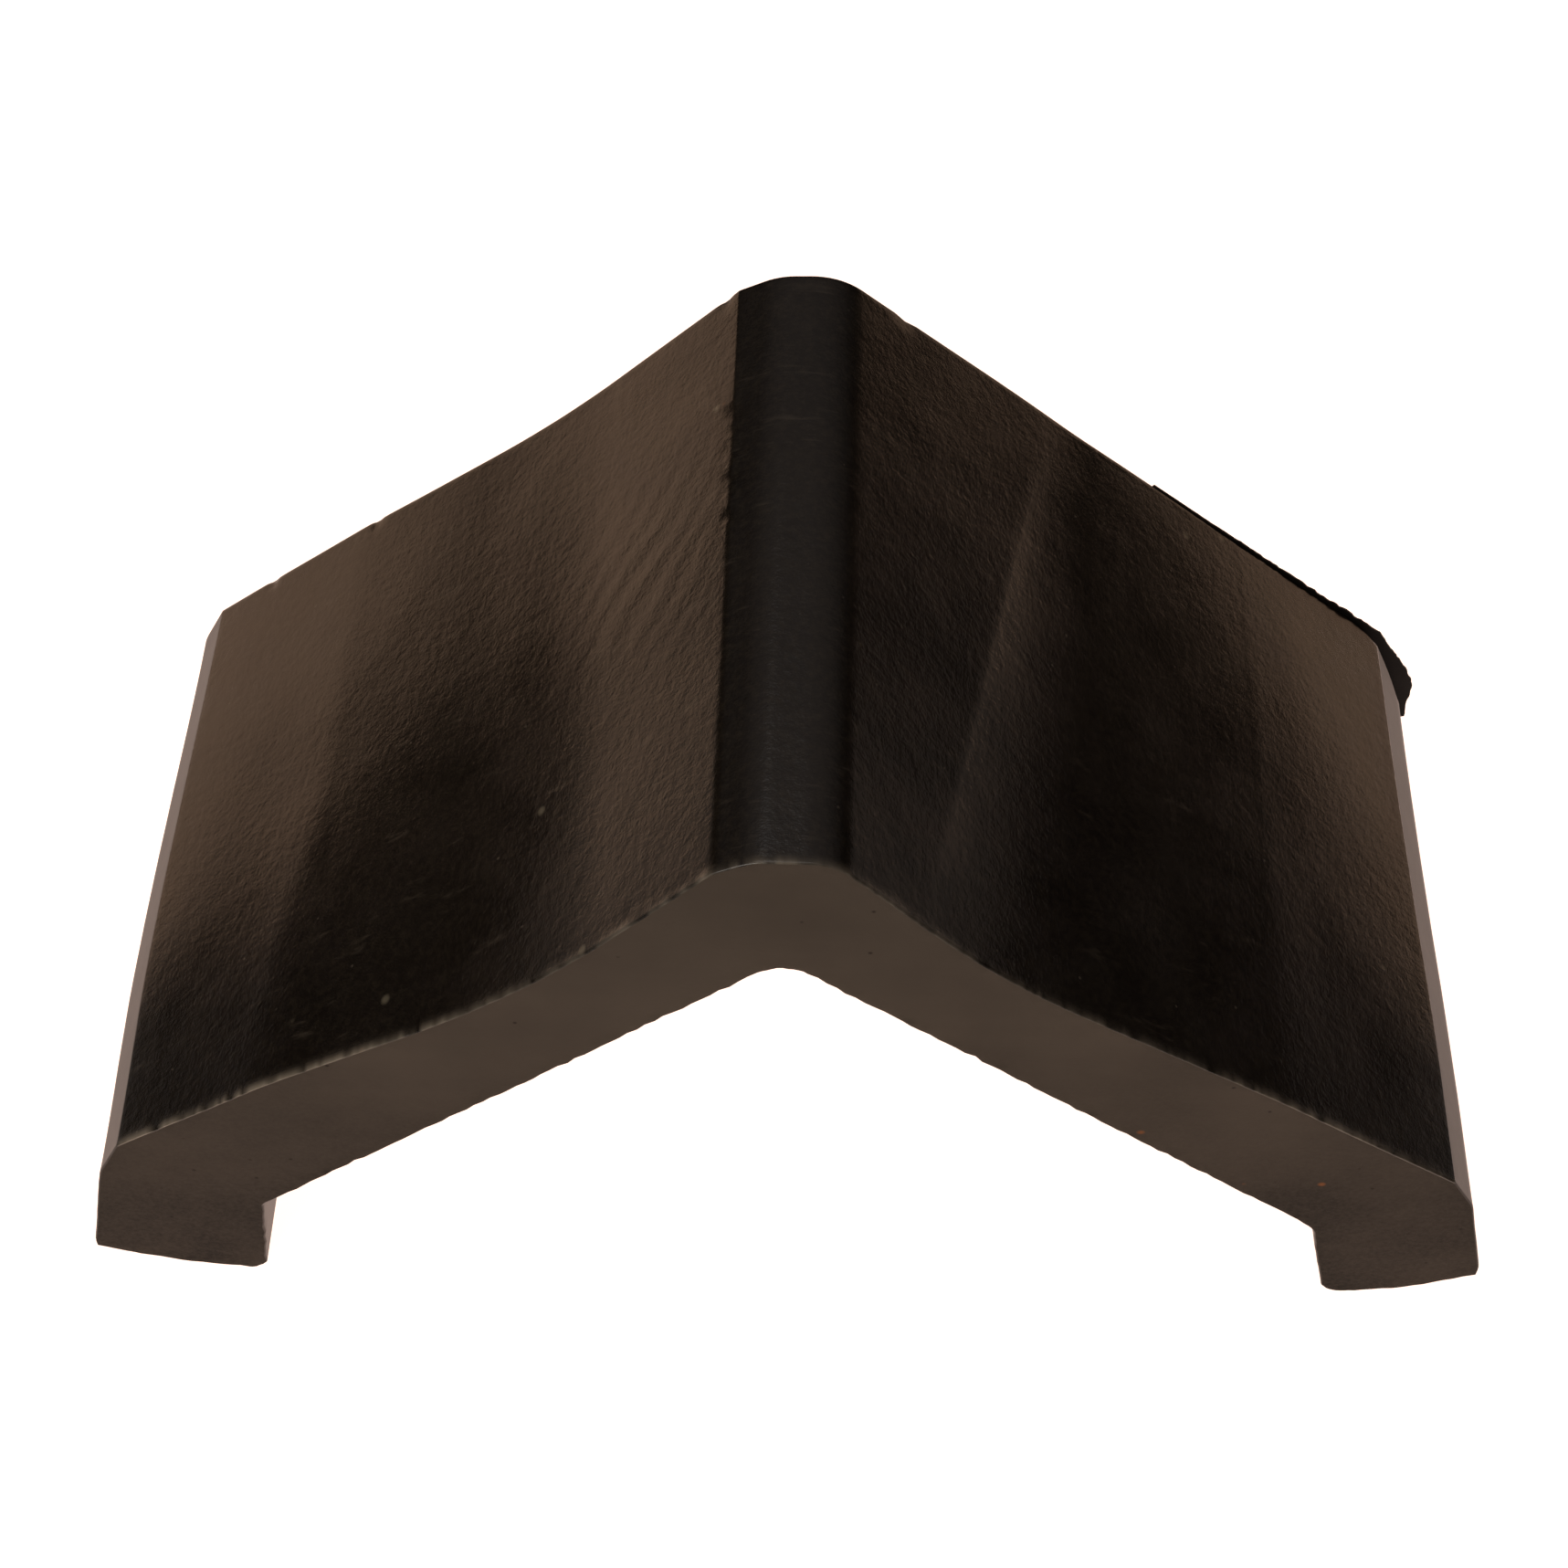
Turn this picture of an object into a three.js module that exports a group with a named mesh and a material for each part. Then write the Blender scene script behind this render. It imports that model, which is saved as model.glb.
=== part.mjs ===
// A short rubber edge cap: one solid chevron-shaped body that sits astride a square edge or a steel angle.
// Two arms meet at a flat-topped crown over an open V-shaped seat, and each arm ends in a thick foot.
// Millimetres, +Z up. X runs from foot to foot, Y along the ridge, and the feet touch Z = 0 at their inner toes.
// The body is cast in one piece, so it is one mesh.

import * as THREE from "three";

// Overall sizes
const footSpan = 100; // outside width over the two heels, before their edges are rounded
const ridgeLength = 50; // length of the piece along the ridge

// Seat: the inside of the chevron
const seatLeg = 49.5; // flat seat on each arm, from the corner of the chevron down to the lip
const seatSlope = 42; // degrees below horizontal
const seatCornerRadius = 2.2;

// Crown: the flat-topped ridge
const crownThickness = 10.75; // from the corner of the seat straight up to the crown
const crownFlat = 6.2; // width between the sharp corners of the crown, before rounding
const crownCornerRadius = 5.5;
const shoulderSlope = 49.5; // degrees, the steep flank just below the crown

// Arms
const waistThickness = 8.05; // thinnest part of the arm, square to the seat
const armSlope = 37.3; // degrees, the long flank, shallower than the seat so the arm thickens outward
const waistRadius = 34; // hollow curve that joins the shoulder to the long flank

// Feet
const footDrop = 10.1; // from the end of the seat down to the toe
const lipLean = 10; // degrees, the inside wall of the foot leans outward on its way down
const lipRadius = 1.6;
const toeRadius = 1.6;
const soleRise = 3.5; // the sole climbs this far from toe to heel
const soleStartSlope = 8; // degrees, slope of the sole at the toe
const soleRadius = 25;
const heelRadius = 0.8;
const wallLean = 14.5; // degrees, the outside wall leans inward on its way up
const bevelSlope = 60; // degrees, the bevel between the long flank and the outside wall
const bevelWidth = 3.9;
const bevelLowerRadius = 6;
const bevelUpperRadius = 0.6;

const arcSegments = 6; // half the straight steps in each rounded corner

const radians = THREE.MathUtils.degToRad;

// A point and a direction. Positive angles climb towards +X.
const line = (x, z, degrees) => ({
  point: new THREE.Vector2(x, z),
  along: new THREE.Vector2(Math.cos(radians(degrees)), Math.sin(radians(degrees))),
});

function crossing(a, b) {
  const gap = b.point.clone().sub(a.point);
  const distance = gap.cross(b.along) / a.along.cross(b.along);
  return a.point.clone().addScaledVector(a.along, distance);
}

// Corners of the right half of the section, from the seat's corner round the foot and up to the crown.
function rightHalf() {
  const halfSpan = footSpan / 2;
  const lip = new THREE.Vector2(Math.cos(radians(seatSlope)), 0).multiplyScalar(seatLeg).setY(footDrop);
  const seatCorner = new THREE.Vector2(0, footDrop + seatLeg * Math.sin(radians(seatSlope)));
  const toe = new THREE.Vector2(lip.x + footDrop * Math.tan(radians(lipLean)), 0);
  const soleMiddleX = (toe.x + halfSpan) / 2;
  const soleMiddle = new THREE.Vector2(soleMiddleX, (soleMiddleX - toe.x) * Math.tan(radians(soleStartSlope)));
  const heel = new THREE.Vector2(halfSpan, soleRise);

  const crownCorner = new THREE.Vector2(crownFlat / 2, seatCorner.y + crownThickness);
  const shoulder = line(crownCorner.x, crownCorner.y, -shoulderSlope);
  const waistLimit = line(0, seatCorner.y + waistThickness / Math.cos(radians(seatSlope)), -seatSlope);
  const waist = crossing(shoulder, waistLimit);
  const flank = line(waist.x, waist.y, -armSlope);
  const wall = line(heel.x, heel.y, 90 + wallLean);
  const bevelRun = bevelWidth * Math.cos(radians(bevelSlope));
  const bevelFall = bevelWidth * Math.sin(radians(bevelSlope));
  const raisedWall = line(heel.x - bevelRun, heel.y + bevelFall, 90 + wallLean);
  const bevelTop = crossing(flank, raisedWall);
  const bevelFoot = new THREE.Vector2(bevelTop.x + bevelRun, bevelTop.y - bevelFall);

  return [
    { at: seatCorner, radius: seatCornerRadius },
    { at: lip, radius: lipRadius },
    { at: toe, radius: toeRadius },
    { at: soleMiddle, radius: soleRadius },
    { at: heel, radius: heelRadius },
    { at: bevelFoot, radius: bevelLowerRadius },
    { at: bevelTop, radius: bevelUpperRadius },
    { at: waist, radius: waistRadius },
    { at: crownCorner, radius: crownCornerRadius },
  ];
}

const mirrored = ({ at, radius }) => ({ at: new THREE.Vector2(-at.x, at.y), radius });

// Joins the corners with straight lines and rounds each one off by its own radius, held under half of either side.
function roundedOutline(corners) {
  const shape = new THREE.Shape();
  corners.forEach(({ at, radius }, index) => {
    const toPrevious = corners.at(index - 1).at.clone().sub(at);
    const toNext = corners[(index + 1) % corners.length].at.clone().sub(at);
    const room = 0.48 * Math.min(toPrevious.length(), toNext.length());
    const turn = toPrevious.cross(toNext) > 0 ? 1 : -1;
    toPrevious.normalize();
    toNext.normalize();
    const halfAngle = Math.acos(toPrevious.dot(toNext)) / 2;
    const setback = Math.min(radius / Math.tan(halfAngle), room);
    const fitted = setback * Math.tan(halfAngle);
    const centre = at
      .clone()
      .addScaledVector(toPrevious.clone().add(toNext).normalize(), fitted / Math.sin(halfAngle));
    const start = at.clone().addScaledVector(toPrevious, setback).sub(centre);
    const end = at.clone().addScaledVector(toNext, setback).sub(centre);
    shape.absarc(centre.x, centre.y, fitted, start.angle(), end.angle(), turn > 0);
  });
  return shape;
}

function sectionShape() {
  const right = rightHalf();
  const left = right.slice(1).reverse().map(mirrored);
  return roundedOutline([...right, ...left]);
}

function bodyGeometry() {
  const geometry = new THREE.ExtrudeGeometry(sectionShape(), {
    depth: ridgeLength,
    bevelEnabled: false,
    curveSegments: arcSegments,
  });
  geometry.rotateX(Math.PI / 2);
  geometry.translate(0, ridgeLength / 2, 0);
  geometry.computeBoundingBox();
  geometry.translate(0, 0, -geometry.boundingBox.min.z);
  return geometry;
}

const rubber = new THREE.MeshStandardMaterial({ color: 0x2b2521, roughness: 0.55, metalness: 0 });

const edgeCap = new THREE.Group();
const capBody = new THREE.Mesh(bodyGeometry(), rubber);
capBody.name = "cap_body";
edgeCap.add(capBody);

export default edgeCap;
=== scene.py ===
"""A rubber edge cap on a pale floor: one chevron-shaped moulding with a cut front end.

Sizes are in millimetres and become metres when a mesh is made. X runs from foot to foot, Y along the ridge
from the cut front end to the moulded rear end, and Z is up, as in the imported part.
"""

import math

import bpy
import numpy as np
from mathutils import Matrix, Vector, geometry, noise

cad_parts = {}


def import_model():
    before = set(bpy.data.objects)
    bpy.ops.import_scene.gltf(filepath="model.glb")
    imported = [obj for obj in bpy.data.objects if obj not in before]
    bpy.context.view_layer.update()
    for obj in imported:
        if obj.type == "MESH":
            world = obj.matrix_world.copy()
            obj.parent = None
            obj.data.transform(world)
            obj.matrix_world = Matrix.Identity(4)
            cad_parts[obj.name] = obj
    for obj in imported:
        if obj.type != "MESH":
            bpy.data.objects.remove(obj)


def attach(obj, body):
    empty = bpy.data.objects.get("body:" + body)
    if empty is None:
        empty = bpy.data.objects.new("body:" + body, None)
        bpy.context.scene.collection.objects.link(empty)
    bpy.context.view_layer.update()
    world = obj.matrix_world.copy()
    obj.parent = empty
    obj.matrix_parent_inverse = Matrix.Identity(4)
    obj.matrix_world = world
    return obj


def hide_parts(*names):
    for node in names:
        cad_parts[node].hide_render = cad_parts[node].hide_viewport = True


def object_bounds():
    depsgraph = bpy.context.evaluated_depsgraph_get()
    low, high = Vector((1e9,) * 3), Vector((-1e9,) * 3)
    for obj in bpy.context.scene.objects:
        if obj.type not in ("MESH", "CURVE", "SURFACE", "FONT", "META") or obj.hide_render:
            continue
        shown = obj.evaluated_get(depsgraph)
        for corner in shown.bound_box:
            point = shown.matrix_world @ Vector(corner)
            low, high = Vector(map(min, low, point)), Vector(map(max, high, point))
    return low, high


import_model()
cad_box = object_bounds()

MM = 0.001
FRONT_Y = cad_box[0].y / MM
REAR_LIMIT_Y = cad_box[1].y / MM
SIDE_LIMIT_X = cad_box[1].x / MM
CROWN_Z = cad_box[1].z / MM

# ---------------------------------------------------------------------------------------------------------
# The section: corners as (distance from the middle, height, radius), from the crown round the foot to the lip
# ---------------------------------------------------------------------------------------------------------

SEAT_CORNER = (0.0, 43.02, 2.2)

LEFT_FOOT = [(49.92, 3.05, 0.4), (44.0, 0.62, 25.0), (37.84, -0.2, 1.3), (36.6, 9.9, 1.0)]
RIGHT_FOOT = [(49.95, 3.4, 0.6), (44.5, 0.62, 25.0), (39.16, -0.25, 2.0), (36.95, 9.95, 2.5)]

# crown, ridge line, waist, belly, top and foot of the bevel
LEFT_FRONT = [
    (1.8, 53.77, 4.0), (4.1, 52.55, 2.4), (16.9, 38.1, 95.0),
    (34.2, 26.9, 60.0), (45.4, 18.1, 0.4), (47.3, 14.3, 4.0),
] + LEFT_FOOT
LEFT_REAR = [
    (1.5, 53.2, 5.0), (4.3, 51.85, 0.6), (17.9, 38.55, 100.0),
    (33.0, 27.3, 60.0), (45.5, 17.3, 0.4), (47.4, 13.8, 4.0),
] + LEFT_FOOT
RIGHT_FRONT = [
    (3.1, 53.77, 3.6), (13.2, 41.8, 70.0), (33.0, 27.25, 60.0),
    (45.6, 17.15, 0.4), (47.45, 13.8, 4.0),
] + RIGHT_FOOT
RIGHT_REAR = [
    (2.8, 53.2, 6.5), (19.7, 38.15, 90.0), (33.2, 27.2, 60.0),
    (45.4, 17.2, 0.6), (47.35, 13.8, 4.0),
] + RIGHT_FOOT

FINE_STEP = 0.36  # spacing of the mesh on the outer skin
COARSE_STEP = 0.8  # and underneath
ARC_TURN = math.radians(9)  # turn between two points of a tight arc
STATION_STEP = 0.42  # spacing of the rings along the body
FACE_STEP = 0.75  # spacing of the points inside an end face
UNDER_CORNERS = 7  # how many corners of a section the underside has

# The rear end isn't quite square: it is skewed, set back on the right, and its upper right corner is rounded.
REAR_Y = 24.33
REAR_SKEW = 0.0198
REAR_SETBACK = 1.9
REAR_CORNER_RADIUS = 5.0
REAR_CORNER_X = 47.3
REAR_CORNER_LOW_Z = 3.0
REAR_CORNER_HIGH_Z = 14.0

FLASH_START_X = 26.0
FLASH_LOW_Z = 6.4
FLASH_THICKNESS = 0.2
FLASH_REACH = 0.85

CUT_EDGE_RADIUS = 0.12
MOULDED_EDGE_RADIUS = 0.3
EDGE_STEPS = 4  # rings round each end's edge
RAG_FADE = 98.0  # how fast the raggedness of the cut end's edges fades, over the length of the body
BURR_HEIGHT = 0.05
LEFT_BULGE = 0.55
RIGHT_BULGE = 0.5


def smooth(low, high, value):
    """0 below low, 1 above high, and a soft step between them."""
    share = np.clip((value - low) / (high - low), 0.0, 1.0)
    return share * share * (3 - 2 * share)


def bell(value, centre, width):
    """1 at the centre, falling off smoothly over about width on both sides."""
    return np.exp(-(((value - centre) / width) ** 2))


def ring_corners(left, right):
    """All corners, from the right foot over the crown to the left foot and back along the seat."""
    outer_right = list(reversed(right[:-3]))
    under_right = list(reversed(right[-3:]))
    outer_left = [(-x, z, radius) for x, z, radius in left[:-3]]
    under_left = [(-x, z, radius) for x, z, radius in left[-3:]]
    return outer_right + outer_left + under_left + [SEAT_CORNER] + under_right


def corner_arc(previous, corner, following):
    """Centre, radius, start angle and turn of the arc that rounds a corner off."""
    at = np.array(corner[:2])
    back = np.array(previous[:2]) - at
    ahead = np.array(following[:2]) - at
    room = 0.48 * min(np.linalg.norm(back), np.linalg.norm(ahead))
    back /= np.linalg.norm(back)
    ahead /= np.linalg.norm(ahead)
    half = math.acos(np.clip(back @ ahead, -1, 1)) / 2
    setback = min(corner[2] / math.tan(half), room)
    radius = setback * math.tan(half)
    centre = at + (back + ahead) / np.linalg.norm(back + ahead) * radius / math.sin(half)
    start = at + back * setback - centre
    end = at + ahead * setback - centre
    first = math.atan2(start[1], start[0])
    turn = math.atan2(end[1], end[0]) - first
    turn = (turn + math.pi) % (2 * math.pi) - math.pi
    return centre, radius, first, turn


def ring_points(corners, counts=None):
    """Points round a section, and how many each arc and straight got, so that two sections can match."""
    total = len(corners)
    arcs = [corner_arc(corners[i - 1], corners[i], corners[(i + 1) % total]) for i in range(total)]
    under = total - UNDER_CORNERS
    points = []
    used = []
    for i, (centre, radius, first, turn) in enumerate(arcs):
        step = FINE_STEP if i < under else COARSE_STEP
        if counts:
            arc_count, straight_count = counts[i]
        else:
            arc_count = max(math.ceil(abs(turn) / ARC_TURN), math.ceil(abs(turn) * radius / step), 2)
        for k in range(arc_count + 1):
            angle = first + turn * k / arc_count
            points.append(centre + radius * np.array([math.cos(angle), math.sin(angle)]))
        next_centre, next_radius, next_first, _ = arcs[(i + 1) % total]
        target = next_centre + next_radius * np.array([math.cos(next_first), math.sin(next_first)])
        start = points[-1]
        if not counts:
            straight_count = max(math.ceil(np.linalg.norm(target - start) / step), 1)
        for k in range(1, straight_count):
            points.append(start + (target - start) * k / straight_count)
        used.append((arc_count, straight_count))
    return np.array(points), used


def ring_normals(points):
    """Outward direction at each point of a section."""
    along = np.roll(points, -1, axis=0) - np.roll(points, 1, axis=0)
    outward = np.stack([along[:, 1], -along[:, 0]], axis=1)
    return outward / np.linalg.norm(outward, axis=1, keepdims=True)


def softened(normals, reach=7):
    """Normals averaged with their neighbours, so that an inset ring doesn't fold at a tight corner."""
    return sum(np.roll(normals, step, axis=0) for step in range(-reach, reach + 1)) / (2 * reach + 1)


def rear_plane_y(x):
    """Where the rear end lies at its full height, rounding of the corner apart."""
    return REAR_Y + REAR_SKEW * x - REAR_SETBACK * smooth(12, 45, x)


def rear_y(x, z):
    """Where the rear end lies, for a point of the section."""
    straight = rear_plane_y(x)
    reach = np.clip(x - (REAR_CORNER_X - REAR_CORNER_RADIUS), 0, 0.97 * REAR_CORNER_RADIUS)
    cut_back = REAR_CORNER_RADIUS - np.sqrt(REAR_CORNER_RADIUS**2 - reach**2)
    return straight - cut_back * smooth(REAR_CORNER_LOW_Z, REAR_CORNER_HIGH_Z, z)


# ---------------------------------------------------------------------------------------------------------
# Relief of the skin, as distances along the surface normal
# ---------------------------------------------------------------------------------------------------------

WAVES = [(19.0, 0.10), (7.0, 0.020), (2.6, 0.006)]  # wavelength and height of the soft unevenness


def unevenness(x, y, z):
    """Soft unevenness of the whole surface, mostly inward."""
    total = 0.0
    for index, (length, height) in enumerate(WAVES):
        place = Vector((x / length + 7.3 * index, y / length - 3.1, z / length + 1.7))
        total += height * (noise.noise(place) - 0.6)
    return total


def side_bulge(x, y):
    """How far the outer edges stand out: the left one bows, the right one flares to the front."""
    left = -LEFT_BULGE * (1 - 0.55 * smooth(-8, -25, y) - smooth(-5, 25, y))
    right = RIGHT_BULGE * (0.6 - smooth(-18, 12, y))
    return np.where(x < 0, left, right) * smooth(36, 46, np.abs(x))


WRINKLE_X = -9.5
WRINKLE_Y = 3.5
WRINKLE_SPACING = 1.9
WRINKLE_HEIGHT = 0.011


def wrinkles(x, y):
    """Slanting creases beside the ridge on the left arm."""
    across = 0.83 * (x - WRINKLE_X) - 0.55 * (y - WRINKLE_Y)
    along = 0.55 * (x - WRINKLE_X) + 0.83 * (y - WRINKLE_Y)
    fade = bell(x, -9.8, 4.5) * bell(y, WRINKLE_Y, 7.5)
    wander = noise.noise(Vector((across / 4, along / 6, 2.2)))
    return WRINKLE_HEIGHT * fade * (math.sin((across + 1.1 * wander) * 2 * math.pi / WRINKLE_SPACING) - 1)


def ridge_tear(x, y):
    """Small bites out of the sharp left ridge."""
    fade = bell(x, -4.1, 0.55) * smooth(1, 4, y) * (1 - smooth(12, 15, y))
    bites = max(noise.noise(Vector((x / 1.5, y / 0.9, 5.5))), 0)
    bites += max(noise.noise(Vector((x, y / 0.4, 1.5))), 0)
    return -0.11 * fade * bites


NICK_PLACES = (-40.9, -32.0, -5.2, 7.4)


def rear_nicks(x, y):
    """Shallow notches in the top edge of the rear end."""
    near_end = smooth(-1.6, 0, y - rear_plane_y(x))
    return -0.14 * near_end * sum(bell(x, place, 0.35) for place in NICK_PLACES)


def burr(x, distance):
    """How much cutting burr stands on the front top edge, from 0 to 1. It also places the burr's light
    colour, which is partly a painted highlight.
    """
    reach = 0.35 + bell(x, -35, 13) + 0.5 * bell(x, 36, 5) + 0.3 * bell(x, 0, 9)
    tuft = noise.noise(Vector((x / 0.8, 6.1, 2.4))) + 0.6 * noise.noise(Vector((x / 0.3, 1.1, 8.4)))
    return float(np.clip(reach * (0.6 + 0.8 * tuft), 0, 1)) * math.exp(-((distance / 0.4) ** 2))


def ragged_edge(x, z, rag):
    """How the lower edge of the cut end is torn, where rag fades from 1 at the end."""
    torn = noise.noise(Vector((x / 0.9, z / 0.9, 3.3)))
    torn += 0.5 * noise.noise(Vector((x / 0.35, z / 0.35, 1.3)))
    return rag * (0.16 * torn - 0.06)


def cut_relief(x, z):
    """Depth of the cutting marks on the cut end, always into the body."""
    marks = noise.noise(Vector((x / 9.0, z / 0.9, 4.2)))
    grain = noise.noise(Vector((x / 0.7, z / 0.7, 8.8)))
    return 0.022 * (1 + marks) + 0.012 * (1 + grain)


# ---------------------------------------------------------------------------------------------------------
# The body
# ---------------------------------------------------------------------------------------------------------


def station_offsets(length):
    """Where between its two edges the body gets a ring of points, as shares of its length."""
    near = [CUT_EDGE_RADIUS, 0.25, 0.42, 0.65, 0.95]
    last = length - 2 * MOULDED_EDGE_RADIUS
    return np.array(near + list(np.linspace(1.3, last, round(last / STATION_STEP)))) / length


def inside(points, outline):
    """True for each point that lies inside the outline."""
    result = np.zeros(len(points), bool)
    x, z = points[:, 0], points[:, 1]
    for (x0, z0), (x1, z1) in zip(outline, np.roll(outline, -1, axis=0)):
        if z0 == z1:
            continue
        crosses = (z0 > z) != (z1 > z)
        result ^= crosses & (x < (x1 - x0) * (z - z0) / (z1 - z0) + x0)
    return result


def fill_face(outline, spacing=FACE_STEP):
    """Triangles that fill an outline, with an even grid of points inside. Returns the inner points too."""
    rows = []
    height = spacing * math.sqrt(3) / 2
    for row, z in enumerate(np.arange(outline[:, 1].min(), outline[:, 1].max(), height)):
        xs = np.arange(outline[:, 0].min(), outline[:, 0].max(), spacing) + spacing / 2 * (row % 2)
        rows.append(np.stack([xs, np.full(len(xs), z)], axis=1))
    grid = np.concatenate(rows)
    grid = grid[inside(grid, outline)]
    clear = np.array([np.min(np.sum((outline - p) ** 2, axis=1)) > (0.6 * spacing) ** 2 for p in grid])
    grid = grid[clear]
    everything = [Vector(p) for p in np.concatenate([outline, grid])]
    _, _, faces, origins, _, _ = geometry.delaunay_2d_cdt(
        everything, [], [list(range(len(outline)))], 1, 1e-6, True
    )
    corners = np.concatenate([outline, grid])
    faces = [[origins[i][0] for i in face] for face in faces]
    filled = inside(np.array([corners[face].mean(axis=0) for face in faces]), outline)
    return grid, [face for face, keep in zip(faces, filled) if keep]


def worn_part(counts):
    """True for each stretch of the ring below the tops of the bevels: bevels, foot walls and underside."""
    starts = np.cumsum([0] + [arc + straight for arc, straight in counts])
    worn = np.zeros(starts[-1], bool)
    left_top = len(counts) - UNDER_CORNERS - 3
    worn[: starts[2] + counts[2][0] // 2] = True
    worn[starts[left_top] + counts[left_top][0] // 2 :] = True
    return worn


class Body:
    """The mesh of the body while it is being built, ring by ring."""

    def __init__(self):
        self.front, self.counts = ring_points(ring_corners(LEFT_FRONT, RIGHT_FRONT))
        self.rear, _ = ring_points(ring_corners(LEFT_REAR, RIGHT_REAR), self.counts)
        outer_end = sum(arc + straight for arc, straight in self.counts[:-UNDER_CORNERS])
        self.outer = np.arange(len(self.front)) < outer_end
        self.verts = []
        self.lips = []
        self.rings = []
        self.faces = []

    def section(self, share):
        """The plain section at a share of the length. The left shoulder turns to its rear shape sooner."""
        early = smooth(0.0, 0.6, share) - share
        blend = share + early * smooth(8, 20, -self.front[:, :1])
        return self.front * (1 - blend) + self.rear * blend

    def relief(self, k, x, y, z, rag):
        """Distance of a point along its normal, and how much burr it carries."""
        offset = unevenness(x, y, z)
        lip = 0.0
        if self.outer[k]:
            offset += wrinkles(x, y) + ridge_tear(x, y) + rear_nicks(x, y)
            if rag > 0.01:
                lip = burr(x, y - FRONT_Y)
                offset += BURR_HEIGHT * lip
        elif rag:
            offset += ragged_edge(x, z, rag)
        return offset, lip

    def add_ring(self, share, inset, depth, rag):
        """One ring of the skin: share along the body, inset from the skin, depth from the end in mm."""
        flat = self.section(share)
        normals = ring_normals(flat)
        if inset:
            normals = softened(normals)
        ends = rear_y(flat[:, 0], flat[:, 1])
        y = FRONT_Y + (ends - FRONT_Y) * share + depth
        flat[:, 0] += side_bulge(flat[:, 0], y)
        ring = []
        for k, (x, z) in enumerate(flat):
            offset, lip = self.relief(k, x, y[k], z, rag)
            offset -= inset
            x = np.clip(x + normals[k, 0] * offset, -SIDE_LIMIT_X, SIDE_LIMIT_X)
            z = np.clip(z + normals[k, 1] * offset, 0.0, CROWN_Z)
            self.lips.append(lip)
            ring.append(len(self.verts))
            self.verts.append((x, np.clip(y[k], FRONT_Y, REAR_LIMIT_Y), z))
        self.rings.append(ring)

    def add_skin(self):
        """All rings, with a rounded edge at each end, joined by four-sided faces."""
        for k in range(EDGE_STEPS):
            turn = k / EDGE_STEPS * math.pi / 2
            inset = CUT_EDGE_RADIUS * (1 - math.sin(turn))
            self.add_ring(0.0, inset, CUT_EDGE_RADIUS * (1 - math.cos(turn)), 1.0)
        for share in station_offsets(REAR_Y - FRONT_Y):
            self.add_ring(share, 0.0, 0.0, math.exp(-share * RAG_FADE))
        for k in range(EDGE_STEPS, -1, -1):
            turn = k / EDGE_STEPS * math.pi / 2
            inset = MOULDED_EDGE_RADIUS * (1 - math.sin(turn))
            self.add_ring(1.0, inset, -MOULDED_EDGE_RADIUS * (1 - math.cos(turn)), 0.0)
        for a, b in zip(self.rings, self.rings[1:]):
            for k in range(len(a)):
                n = (k + 1) % len(a)
                self.faces.append((a[k], b[k], b[n], a[n]))

    def add_end(self, ring, section, y_at, reverse):
        """Fills one end. y_at gives the y of a point inside it."""
        grid, triangles = fill_face(section)
        index = list(ring)
        for x, z in grid:
            index.append(len(self.verts))
            self.verts.append((x, y_at(x, z), z))
        for triangle in triangles:
            corners = [index[i] for i in triangle]
            self.faces.append(tuple(reversed(corners) if reverse else corners))


def cut_end_y(x, z):
    """Where the cut end lies, marks included."""
    return FRONT_Y + cut_relief(x, z)


def rear_end_y(x, z):
    """Where the rear end lies, kept inside the part's box."""
    return min(rear_y(x, z), REAR_LIMIT_Y)


def body_mesh():
    """The whole body. Its faces use material 0 on the skin, 1 on the cut end and 2 on the worn parts."""
    shape = Body()
    shape.add_skin()
    skin_faces = len(shape.faces)
    shape.add_end(shape.rings[0], shape.front, cut_end_y, False)
    front_end = len(shape.faces)
    shape.add_end(shape.rings[-1], shape.rear, rear_end_y, True)

    mesh = bpy.data.meshes.new("cap_skin")
    mesh.from_pydata([(x * MM, y * MM, z * MM) for x, y, z in shape.verts], [], shape.faces)
    lips = shape.lips + [0.0] * (len(shape.verts) - len(shape.lips))
    mesh.attributes.new("burr", "FLOAT", "POINT").data.foreach_set("value", lips)
    mesh.validate()
    slots = np.zeros(len(mesh.polygons), dtype=np.int32)
    slots[:skin_faces] = np.tile(np.where(worn_part(shape.counts), 2, 0), len(shape.rings) - 1)
    slots[skin_faces:front_end] = 1
    mesh.polygons.foreach_set("material_index", slots)
    mesh.polygons.foreach_set("use_smooth", np.ones(len(mesh.polygons), dtype=bool))
    mesh.update()
    return mesh


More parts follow.
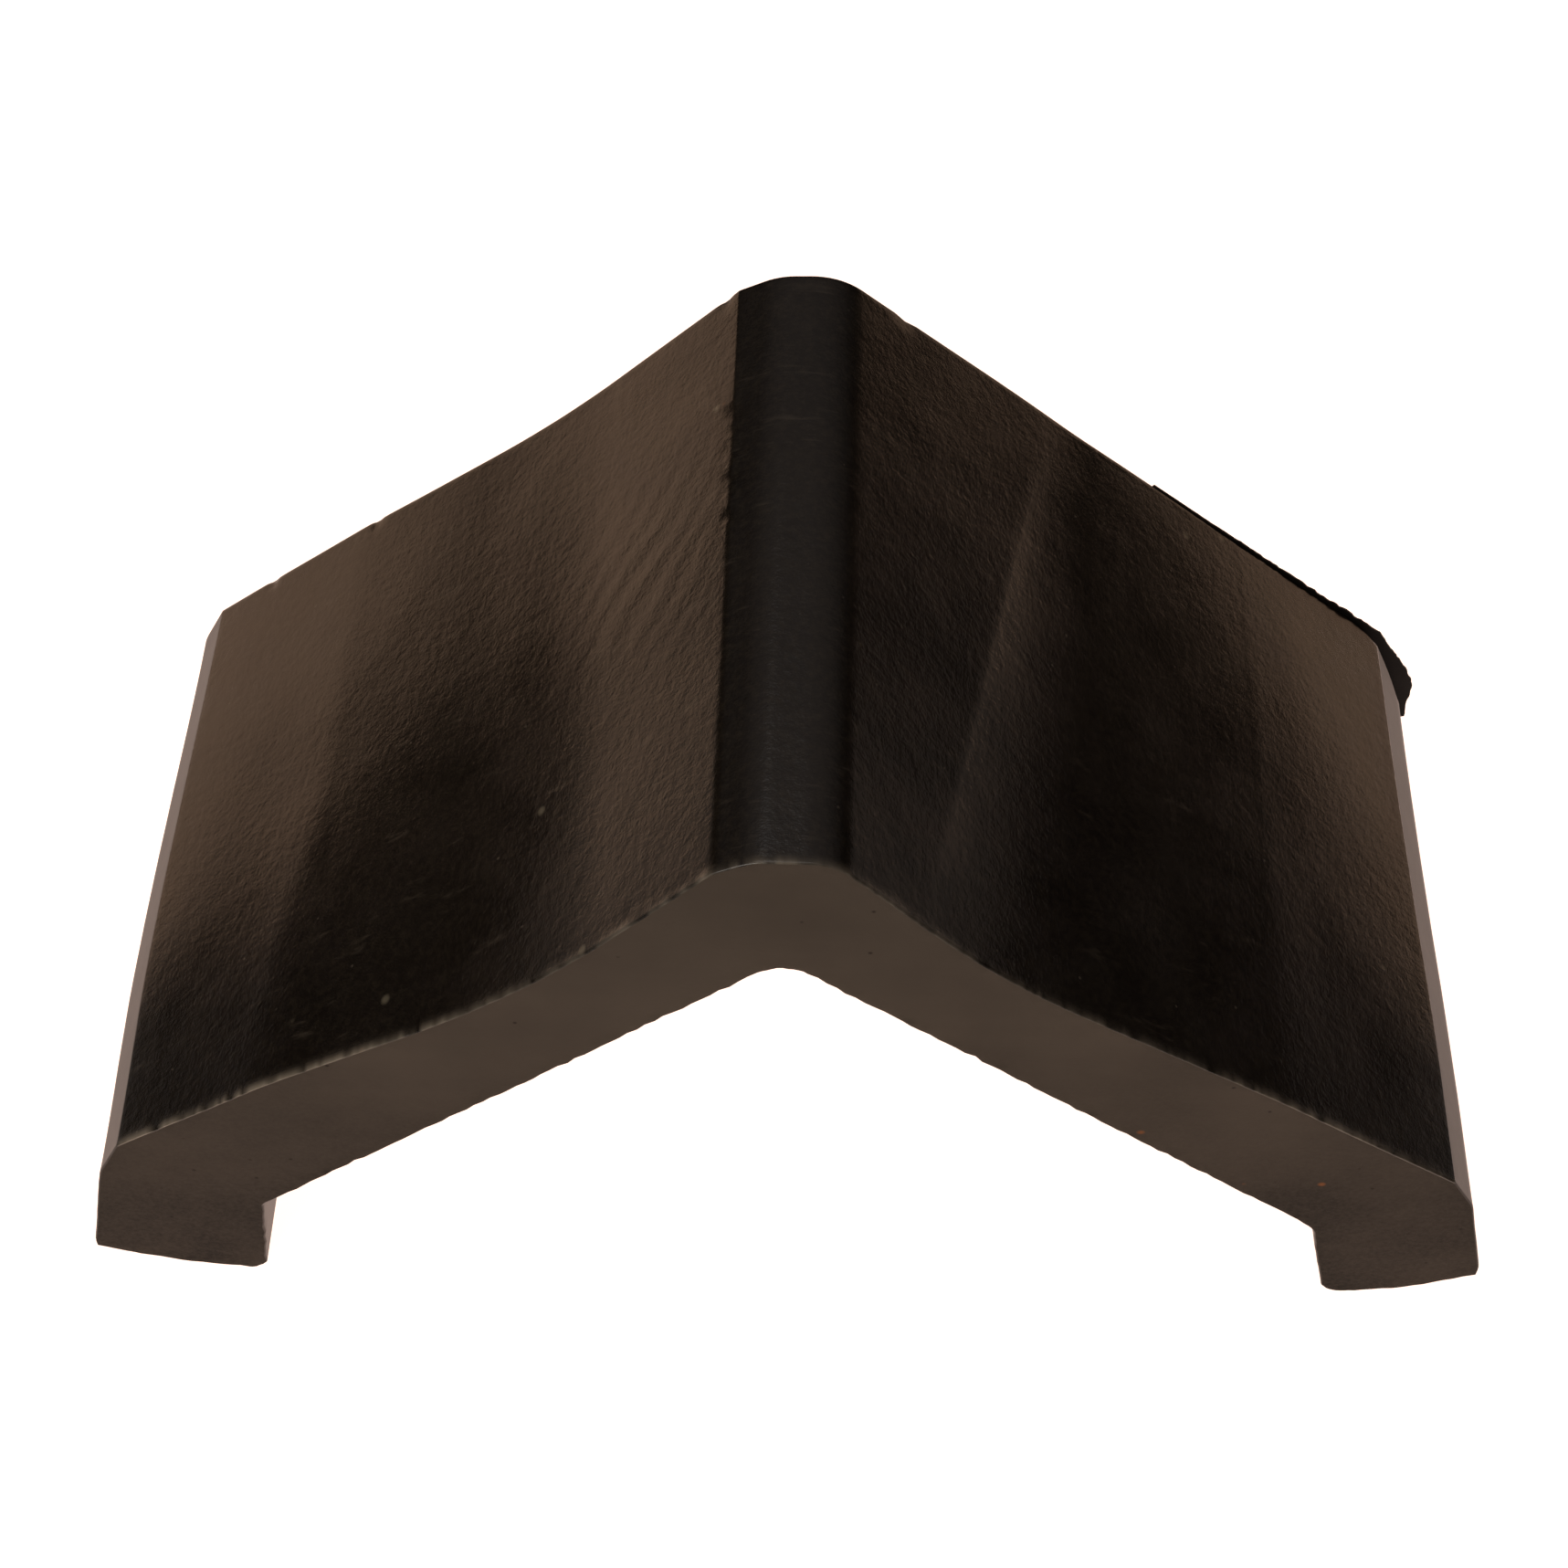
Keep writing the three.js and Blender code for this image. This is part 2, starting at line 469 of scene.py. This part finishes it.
def flash_mesh():
    """A thin ragged web of flash in the rear plane, round the upper right corner."""
    ring, _ = ring_points(ring_corners(LEFT_REAR, RIGHT_REAR))
    normals = softened(ring_normals(ring))
    verts = []
    for k in range(len(ring) // 2):
        x, z = ring[k]
        if x < FLASH_START_X or z < FLASH_LOW_Z:
            continue
        growth = smooth(FLASH_START_X, 40, x)
        tatter = noise.noise(Vector((x / 0.9, z / 0.9, 9.7)))
        tatter += noise.noise(Vector((x / 0.35, z / 0.35, 2.7)))
        out = 0.1 * growth + FLASH_REACH * bell(z, 10.8, 2.4) - 0.15 * (1 - smooth(5, 8, z))
        out += 0.11 * growth * tatter
        depth = 0.4 + 5 * growth * smooth(6, 12, z)
        for reach in (out, -depth):
            u = x + normals[k, 0] * reach
            w = z + normals[k, 1] * reach
            back = rear_plane_y(u) + 0.05 + 0.08 * growth * noise.noise(Vector((u / 4, w / 4, 0.3)))
            verts += [(u, back - FLASH_THICKNESS, w), (u, back, w)]
    faces = []
    last = len(verts) - 4
    for a in range(0, last, 4):
        for i, j in ((0, 1), (1, 3), (3, 2), (2, 0)):
            faces.append((a + i, a + j, a + j + 4, a + i + 4))
    faces += [(0, 2, 3, 1), (last, last + 1, last + 3, last + 2)]
    mesh = bpy.data.meshes.new("moulding_flash")
    mesh.from_pydata([(x * MM, y * MM, z * MM) for x, y, z in verts], [], faces)
    mesh.update()
    return mesh


# ---------------------------------------------------------------------------------------------------------
# Materials
# ---------------------------------------------------------------------------------------------------------


class Nodes:
    """Short forms for the nodes of one material."""

    def __init__(self, name):
        self.material = bpy.data.materials.new(name)
        self.material.use_nodes = True
        self.tree = self.material.node_tree
        self.tree.nodes.clear()
        self.output = self.tree.nodes.new("ShaderNodeOutputMaterial")
        self.shader = self.tree.nodes.new("ShaderNodeBsdfPrincipled")
        self.link(self.shader.outputs[0], self.output.inputs["Surface"])
        self.place = self.tree.nodes.new("ShaderNodeTexCoord").outputs["Object"]

    def link(self, source, target):
        self.tree.links.new(source, target)

    def noise(self, size, detail=2.0, rough=0.5, stretch=(1, 1, 1)):
        """Noise whose features are about size mm across."""
        mapping = self.tree.nodes.new("ShaderNodeMapping")
        mapping.inputs["Scale"].default_value = [s / MM / size for s in stretch]
        self.link(self.place, mapping.inputs["Vector"])
        node = self.tree.nodes.new("ShaderNodeTexNoise")
        node.inputs["Scale"].default_value = 1.0
        node.inputs["Detail"].default_value = detail
        node.inputs["Roughness"].default_value = rough
        self.link(mapping.outputs[0], node.inputs["Vector"])
        return node.outputs["Fac"]

    def ramp(self, source, low, high, out_low=0.0, out_high=1.0):
        node = self.tree.nodes.new("ShaderNodeMapRange")
        node.inputs["From Min"].default_value = low
        node.inputs["From Max"].default_value = high
        node.inputs["To Min"].default_value = out_low
        node.inputs["To Max"].default_value = out_high
        self.link(source, node.inputs["Value"])
        return node.outputs["Result"]

    def math(self, operation, a, b):
        node = self.tree.nodes.new("ShaderNodeMath")
        node.operation = operation
        for socket, value in zip(node.inputs, (a, b)):
            if isinstance(value, (int, float)):
                socket.default_value = value
            else:
                self.link(value, socket)
        return node.outputs[0]

    def mix(self, share, a, b):
        node = self.tree.nodes.new("ShaderNodeMix")
        node.data_type = "RGBA"
        for socket, value in ((node.inputs[0], share), (node.inputs[6], a), (node.inputs[7], b)):
            if isinstance(value, tuple):
                socket.default_value = (*value, 1.0)
            elif isinstance(value, float):
                socket.default_value = value
            else:
                self.link(value, socket)
        return node.outputs[2]

    def specks(self, size, share, seed):
        """Round dots about a third of size mm across, on the given share of cells."""
        mapping = self.tree.nodes.new("ShaderNodeMapping")
        mapping.inputs["Scale"].default_value = [1 / MM / size] * 3
        mapping.inputs["Location"].default_value = (seed, 2 * seed, 3 * seed)
        self.link(self.place, mapping.inputs["Vector"])
        node = self.tree.nodes.new("ShaderNodeTexVoronoi")
        node.inputs["Scale"].default_value = 1.0
        self.link(mapping.outputs[0], node.inputs["Vector"])
        split = self.tree.nodes.new("ShaderNodeSeparateColor")
        self.link(node.outputs["Color"], split.inputs[0])
        chosen = self.math("LESS_THAN", split.outputs[0], share)
        near = self.ramp(node.outputs["Distance"], 0.05, 0.13, 1.0, 0.0)
        return self.math("MULTIPLY", near, chosen)

    def bump(self, height, strength, distance, previous=None):
        node = self.tree.nodes.new("ShaderNodeBump")
        node.inputs["Strength"].default_value = strength
        node.inputs["Distance"].default_value = distance * MM
        self.link(height, node.inputs["Height"])
        if previous:
            self.link(previous, node.inputs["Normal"])
        return node.outputs[0]

    def set(self, **sockets):
        for name, value in sockets.items():
            socket = self.shader.inputs[name.replace("_", " ")]
            if isinstance(value, (int, float, tuple)):
                socket.default_value = value
            else:
                self.link(value, socket)


def moulded_rubber():
    """The satin skin: a warm bloom, dust, and a fine orange-peel grain.

    Its base is blacker than real rubber, because the cards and the floor give it most of its brightness.
    """
    n = Nodes("moulded_rubber")
    bloom = n.ramp(n.noise(14.0, 4.0, 0.6), 0.35, 0.7)
    base = n.mix(bloom, (0.0032, 0.0021, 0.0014), (0.0080, 0.0058, 0.0040))
    mottle = n.ramp(n.noise(0.6, 5.0, 0.85), 0.45, 0.68)
    base = n.mix(n.math("MULTIPLY", mottle, 0.8), base, (0.019, 0.0145, 0.009))
    scratch = n.ramp(n.noise(1.3, 3.0, 0.7, (0.14, 1.0, 0.4)), 0.62, 0.72)
    base = n.mix(n.math("MULTIPLY", scratch, 0.5), base, (0.045, 0.036, 0.026))
    dust = n.specks(3.4, 0.10, 1.7)
    fine_dust = n.specks(1.1, 0.07, 5.1)
    base = n.mix(n.math("MULTIPLY", dust, 0.6), base, (0.15, 0.13, 0.09))
    base = n.mix(n.math("MULTIPLY", fine_dust, 0.5), base, (0.10, 0.085, 0.065))
    rust = n.specks(2.2, 0.012, 9.3)
    base = n.mix(n.math("MULTIPLY", rust, 0.6), base, (0.16, 0.05, 0.015))
    # Burr along the front top edge, lighter than the cut end: partly the burr's own pale torn rubber, partly
    # a painted highlight on the edge.
    torn = n.tree.nodes.new("ShaderNodeAttribute")
    torn.attribute_name = "burr"
    base = n.mix(torn.outputs["Fac"], base, (0.20, 0.17, 0.13))
    rough = n.ramp(n.noise(6.0, 4.0, 0.65), 0.3, 0.75, 0.16, 0.25)
    grain = n.bump(n.noise(0.22, 2.0), 0.5, 0.012)
    peel = n.bump(n.noise(0.8, 3.0, 0.7), 0.8, 0.035, grain)
    n.set(Base_Color=base, Roughness=rough, Normal=peel, IOR=1.5)
    return n.material


def worn_rubber():
    """Bevels, foot walls and underside, scuffed dull."""
    n = Nodes("worn_rubber")
    scuff = n.ramp(n.noise(3.0, 4.0, 0.65), 0.35, 0.7)
    base = n.mix(scuff, (0.014, 0.010, 0.0075), (0.034, 0.027, 0.021))
    grain = n.bump(n.noise(0.3, 2.0), 0.3, 0.012)
    n.set(Base_Color=base, Roughness=0.46, Normal=grain, Specular_IOR_Level=0.18)
    return n.material


def shaded_flash_rubber():
    """The thin flash, of the same rubber as the skin. Its near-black colour, darker than the skin's, is
    painted shade.
    """
    n = Nodes("shaded_flash_rubber")
    grain = n.bump(n.noise(0.3, 2.0), 0.4, 0.015)
    # Near-black base colour: painted shade on the flash.
    n.set(Base_Color=(0.0022, 0.0016, 0.0012, 1.0), Roughness=0.6, Normal=grain, Specular_IOR_Level=0.12)
    return n.material


def cut_rubber():
    """The cut end: matt, greyer and lighter than the skin, with faint cutting marks.

    Its colour darkens towards the feet: painted shade, which makes up for the light the bright floor throws
    on them. Real rubber would be even all over.
    """
    n = Nodes("cut_rubber")
    split = n.tree.nodes.new("ShaderNodeSeparateXYZ")
    n.link(n.place, split.inputs[0])
    # Painted shade: below 38 mm the colour darkens towards the feet, to make up for the light from the bright
    # floor.
    high = n.ramp(split.outputs["Z"], 10 * MM, 38 * MM, 0.0, 0.75)
    cloud_and_painted_shade = n.math("ADD", high, n.ramp(n.noise(9.0, 3.0), 0.3, 0.7, 0.0, 0.25))
    base = n.mix(cloud_and_painted_shade, (0.0060, 0.0046, 0.0033), (0.084, 0.0665, 0.0500))
    grain = n.ramp(n.noise(0.35, 3.0, 0.7), 0.3, 0.7)
    base = n.mix(n.math("MULTIPLY", grain, 0.3), base, (0.066, 0.053, 0.040))
    # Dark specks: painted shade standing in for small pits in the cut end.
    pit_shade = n.specks(1.4, 0.12, 6.2)
    base = n.mix(n.math("MULTIPLY", pit_shade, 0.7), base, (0.006, 0.0045, 0.0035))
    rust = n.specks(2.6, 0.07, 3.9)
    base = n.mix(n.math("MULTIPLY", rust, 0.7), base, (0.2, 0.07, 0.02))
    marks = n.bump(n.noise(1.2, 3.0, 0.6, (0.15, 1, 1)), 0.5, 0.03)
    fine = n.bump(n.noise(0.25, 2.0, 0.7), 0.6, 0.02, marks)
    n.set(Base_Color=base, Roughness=0.78, Normal=fine, IOR=1.48, Specular_IOR_Level=0.12)
    return n.material


# ---------------------------------------------------------------------------------------------------------
# Pieces
# ---------------------------------------------------------------------------------------------------------


def show(mesh, name, materials):
    """Puts a piece of the object in the scene, on the one body that the part has."""
    piece = bpy.data.objects.new(name, mesh)
    bpy.context.scene.collection.objects.link(piece)
    for material in materials:
        mesh.materials.append(material)
    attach(piece, "root")
    return piece


body = show(body_mesh(), "rubber_cap_body", [moulded_rubber(), cut_rubber(), worn_rubber()])
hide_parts("cap_body")
show(flash_mesh(), "moulding_flash", [shaded_flash_rubber()])

# ---------------------------------------------------------------------------------------------------------
# Floor, light and camera
# ---------------------------------------------------------------------------------------------------------


def glow(name, strength, colour):
    """A plain light-giving surface."""
    n = Nodes(name)
    n.set(Base_Color=(0.0, 0.0, 0.0, 1.0), Specular_IOR_Level=0.0)
    n.set(Emission_Color=(*colour, 1.0), Emission_Strength=strength)
    return n.material


def stage_panel(name, corners, material):
    """A flat panel of the set, from its corners in mm."""
    mesh = bpy.data.meshes.new(name)
    mesh.from_pydata([(x * MM, y * MM, z * MM) for x, y, z in corners], [], [tuple(range(len(corners)))])
    mesh.materials.append(material)
    piece = bpy.data.objects.new(name, mesh)
    bpy.context.scene.collection.objects.link(piece)
    return piece


FLOOR_SIZE = 2000
GLOW_CENTRE_Y = 38
GLOW_STRENGTH = 1.2
GLOW_FADE = (90, 108)  # where the floor's glow starts and ends to fade, from its centre


def floor_material():
    """Pale floor that glows round the object. The glow fades out further away."""
    n = Nodes("pale_floor")
    n.set(Base_Color=(0.34, 0.33, 0.32, 1.0), Roughness=0.9, Emission_Color=(1.28, 0.95, 0.81, 1.0))
    split = n.tree.nodes.new("ShaderNodeSeparateXYZ")
    n.link(n.place, split.inputs[0])
    aside = n.math("ABSOLUTE", split.outputs["X"], 0.0)
    ahead = n.math("ABSOLUTE", n.math("SUBTRACT", split.outputs["Y"], GLOW_CENTRE_Y * MM), 0.0)
    low, high = (edge * MM for edge in GLOW_FADE)
    across = n.ramp(aside, low, high, GLOW_STRENGTH, 0.0)
    n.set(Emission_Strength=n.math("MULTIPLY", across, n.ramp(ahead, low, high, 1.0, 0.0)))
    return n.material


def floor():
    corners = [(x * FLOOR_SIZE, y * FLOOR_SIZE, 0) for x, y in ((-1, -1), (1, -1), (1, 1), (-1, 1))]
    stage_panel("floor", corners, floor_material())


CARD_X = 100  # distance of the side cards from the middle
# y and z of the points along the top of each card
CARD_TOPS = {
    -1: [(20, 9), (34, 21), (51, 32), (68, 40), (90, 45), (160, 66)],
    1: [(20, 12), (36, 18), (50, 22), (63, 26), (90, 34), (106, 44), (160, 62)],
}
CARD_STRENGTH = {-1: 0.55, 1: 0.45}
CARD_COLOUR = (1.48, 0.94, 0.62)


def side_cards():
    """Low bright cards left and right, which the camera doesn't see.

    The light and dark zones on the flanks are their reflections: their tops set how far each zone reaches.
    """
    for side, tops in CARD_TOPS.items():
        x = side * CARD_X
        corners = [(x, tops[0][0], 0), (x, tops[-1][0], 0)] + [(x, y, z) for y, z in reversed(tops)]
        card = stage_panel("side_card", corners, glow("side_card", CARD_STRENGTH[side], CARD_COLOUR))
        card.visible_camera = False


def area_light(name, place, target, width, height, watts, colour):
    """A soft rectangular lamp, with its places and sizes in metres."""
    data = bpy.data.lights.new(name, "AREA")
    data.shape = "RECTANGLE"
    data.size = width
    data.size_y = height
    data.energy = watts
    data.color = colour
    lamp = bpy.data.objects.new(name, data)
    bpy.context.scene.collection.objects.link(lamp)
    lamp.location = place
    lamp.rotation_euler = (Vector(target) - Vector(place)).to_track_quat("-Z", "Y").to_euler()


def world():
    """Grey surroundings, dark at the horizon and brighter overhead."""
    made = bpy.data.worlds.new("studio")
    bpy.context.scene.world = made
    made.use_nodes = True
    tree = made.node_tree
    background = tree.nodes["Background"]
    place = tree.nodes.new("ShaderNodeTexCoord")
    split = tree.nodes.new("ShaderNodeSeparateXYZ")
    tree.links.new(place.outputs["Generated"], split.inputs[0])
    rise = tree.nodes.new("ShaderNodeMapRange")
    rise.interpolation_type = "SMOOTHSTEP"
    rise.inputs["From Min"].default_value = 0.15
    rise.inputs["From Max"].default_value = 0.9
    rise.inputs["To Min"].default_value = 0.01
    rise.inputs["To Max"].default_value = 0.24
    tree.links.new(split.outputs["Z"], rise.inputs["Value"])
    tree.links.new(rise.outputs["Result"], background.inputs["Strength"])
    background.inputs["Color"].default_value = (1.15, 0.97, 0.88, 1.0)


CAMERA_LENS = 63.95
CAMERA_PLACE = (2.71, -116.37, 186.12)
CAMERA_DOWN = 53.75  # degrees below the horizon
CAMERA_TURN = 1.617
CAMERA_ROLL = -0.156


def camera():
    data = bpy.data.cameras.new("camera")
    data.lens = CAMERA_LENS
    data.sensor_width = 36.0
    data.clip_start = 0.01
    eye = bpy.data.objects.new("camera", data)
    bpy.context.scene.collection.objects.link(eye)
    tilt = Matrix.Rotation(math.radians(90 - CAMERA_DOWN), 4, "X")
    turn = Matrix.Rotation(math.radians(CAMERA_TURN), 4, "Z")
    roll = Matrix.Rotation(math.radians(CAMERA_ROLL), 4, "Z")
    place = Matrix.Translation(Vector(CAMERA_PLACE) * MM)
    eye.matrix_world = place @ turn @ tilt @ roll
    bpy.context.scene.camera = eye


floor()
side_cards()
world()
area_light("front_fill", (-0.45, -0.8, 0.4), (0, 0, 0.03), 0.7, 0.5, 4.5, (1.0, 0.93, 0.86))
area_light("top_soft", (-0.2, 0.2, 1.3), (0, 0, 0.03), 0.9, 0.9, 2.0, (1.0, 0.97, 0.94))
camera()
bpy.context.scene.view_settings.view_transform = "Standard"
